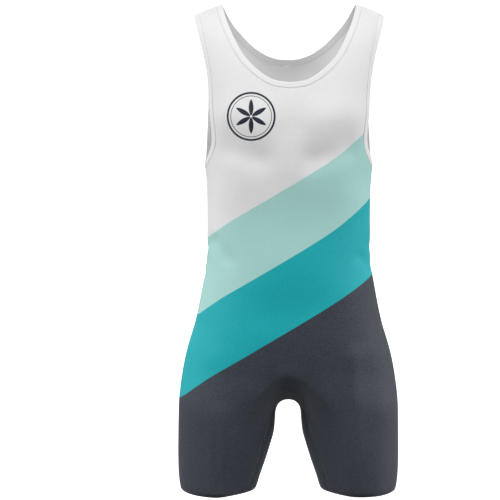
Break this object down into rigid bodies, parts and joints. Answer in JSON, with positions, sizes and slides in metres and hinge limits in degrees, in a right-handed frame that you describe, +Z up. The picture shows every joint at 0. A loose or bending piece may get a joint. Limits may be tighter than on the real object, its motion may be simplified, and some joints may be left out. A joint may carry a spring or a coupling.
{
  "type": "wrestling singlet",
  "caption": "Sleeveless one-piece wrestling singlet with scooped neck, bound edges and thigh-length legs, held filled out as on a general figure, open at neck, arms and legs.",
  "frame": {"origin": "between the two shoulder straps, on the garment's middle plane, at the height of the straps' inner ends, where the shoulders hold it", "axes": "+Z up through the neck, +X towards the right of a viewer who looks at the front, the front faces -Y"},
  "size_m": [0.4002, 0.2284, 0.874],
  "materials": {
    "body_cloth": "fine smooth tricot, printed in white, pale green, teal and charcoal bands",
    "binding_cloth": "folded stretch binding, white"
  },
  "bodies": {
    "root": {"front_panel": "body_cloth", "back_panel": "body_cloth", "neck_binding": "binding_cloth", "armhole_binding_left": "binding_cloth", "armhole_binding_right": "binding_cloth"}
  },
  "joints": []
}
